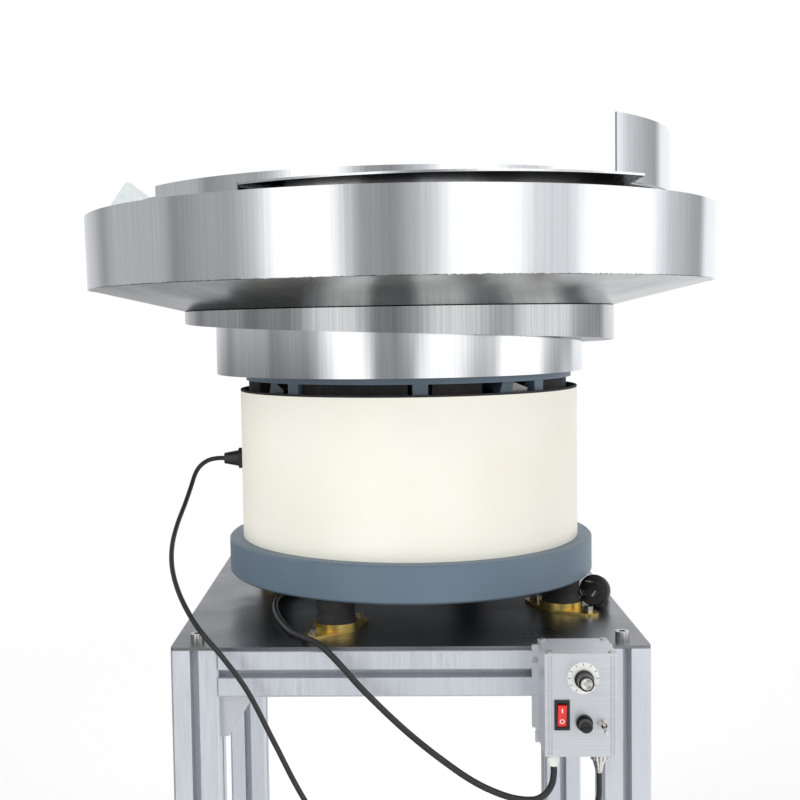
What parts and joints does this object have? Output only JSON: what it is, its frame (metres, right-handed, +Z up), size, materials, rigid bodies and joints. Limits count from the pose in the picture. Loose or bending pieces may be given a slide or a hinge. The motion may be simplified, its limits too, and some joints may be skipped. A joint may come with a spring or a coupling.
{
  "type": "vibratory bowl feeder",
  "caption": "Stepped spiral bowl that feeds loose caps up to a side chute, on a spring and magnet drive, a slotted aluminium stand and a small hand control box.",
  "frame": {"origin": "on the floor below the centre of the bowl", "axes": "+Z up, +X to the right of the front view, -Y out of the front where the control box hangs"},
  "size_m": [0.6752, 0.6752, 1.143],
  "materials": {
    "profile": "satin anodised",
    "bracket": "cast and blasted",
    "fastener": "bright zinc or stainless",
    "foot_pad": "moulded, dark",
    "table_steel": "dark polished steel plate",
    "yellow_zinc": "yellow zinc plated steel",
    "black_rubber": "matte",
    "drive_paint": "satin blue-grey paint",
    "cream_paint": "satin cream powder coat",
    "core_steel": "laminated steel",
    "coil_varnish": "varnished winding",
    "spring_steel": "spring steel strip",
    "dark_bolt": "black oxide",
    "bowl_steel": "polished stainless sheet",
    "clear_sheet": "clear sheet",
    "black_plastic": "moulded",
    "box_aluminium": "brushed and anodised",
    "dial_white": "printed label sheet",
    "bright_metal": "nickel plated",
    "rocker_red": "gloss",
    "gland_white": "moulded nylon",
    "cord_black": "soft vinyl",
    "plug_pin": "plated"
  },
  "bodies": {
    "stand": {"posts": "profile", "rails": "profile", "brackets": "bracket", "bracket_screws": "fastener", "levelling_pads": "foot_pad", "levelling_studs": "fastener", "table_plate": "table_steel", "plate_bolts": "fastener", "foot_flanges": "yellow_zinc", "flange_bolts": "fastener", "rubber_feet": "black_rubber", "base_disc": "drive_paint", "drive_cover": "cream_paint", "cover_seal": "black_rubber", "magnet_core": "core_steel", "magnet_coil": "coil_varnish", "lower_clamps": "drive_paint", "lower_bolts": "dark_bolt", "drive_gland": "black_plastic", "box_shell": "box_aluminium", "box_ends": "box_aluminium", "box_screws": "fastener", "box_holder": "box_aluminium", "dial_plate": "dial_white", "speed_pot": "bright_metal", "rocker_frame": "black_plastic", "fuse_holder": "black_plastic", "toggle_body": "bright_metal", "mains_gland": "gland_white", "cord_socket": "bright_metal", "cord_plug": "bright_metal", "drive_cord": "cord_black", "mains_cord": "cord_black", "mains_plug": "cord_black", "plug_pins": "plug_pin"},
    "spring_set": {"leaf_springs": "spring_steel"},
    "bowl": {"armature": "core_steel", "upper_bolts": "dark_bolt", "drive_casting": "drive_paint", "pocket_pads": "black_rubber", "bowl_base": "bowl_steel", "bowl_floor": "bowl_steel", "bowl_bolts": "fastener", "bowl_skirt": "bowl_steel", "step_band": "bowl_steel", "spiral_track": "bowl_steel", "tray_cone": "bowl_steel", "outer_ring": "bowl_steel", "bowl_drum": "bowl_steel", "upper_lane": "bowl_steel", "lane_rail": "bowl_steel", "tall_guard": "bowl_steel", "discharge_chute": "bowl_steel", "clear_guard": "clear_sheet"},
    "speed_knob": {"speed_knob": "black_plastic", "knob_cap": "bright_metal"},
    "rocker": {"rocker": "rocker_red"},
    "fuse_cap": {"fuse_cap": "black_plastic"},
    "toggle_lever": {"toggle_lever": "bright_metal"},
    "coupling_ring": {"coupling_ring": "bright_metal"}
  },
  "joints": [
    {"name": "bowl_lift", "type": "slide", "parent": "stand", "child": "spring_set", "axis": [0, 0, 1], "range_m": [-0.0004, 0.0004], "stiffness_N_per_m": 300000, "springref_m": 0.001, "deforming": ["leaf_springs"]},
    {"name": "bowl_twist", "type": "hinge", "parent": "spring_set", "child": "bowl", "pos_m": [0.01, 0, 0.9], "axis": [0, 0, 1], "range_deg": [-0.45, 0.45]},
    {"name": "knob_turn", "type": "hinge", "parent": "stand", "child": "speed_knob", "pos_m": [0.157, -0.285, 0.636], "axis": [0, 1, 0], "range_deg": [0, 300]},
    {"name": "rocker_tilt", "type": "hinge", "parent": "stand", "child": "rocker", "pos_m": [0.138, -0.278, 0.603], "axis": [1, 0, 0], "range_deg": [-18, 0]},
    {"name": "fuse_pull", "type": "slide", "parent": "stand", "child": "fuse_cap", "axis": [0, -1, 0], "range_m": [0, 0.03]},
    {"name": "toggle_tilt", "type": "hinge", "parent": "stand", "child": "toggle_lever", "pos_m": [0.174, -0.285, 0.595], "axis": [1, 0, 0], "range_deg": [-26, 0]},
    {"name": "ring_turn", "type": "hinge", "parent": "stand", "child": "coupling_ring", "pos_m": [0.175, -0.2545, 0.558], "axis": [0, 0, 1], "range_deg": [-270, 0]}
  ],
  "couplings": [
    {"joint": "bowl_twist", "follows": "bowl_lift", "rad_per_m": -17.95}
  ]
}
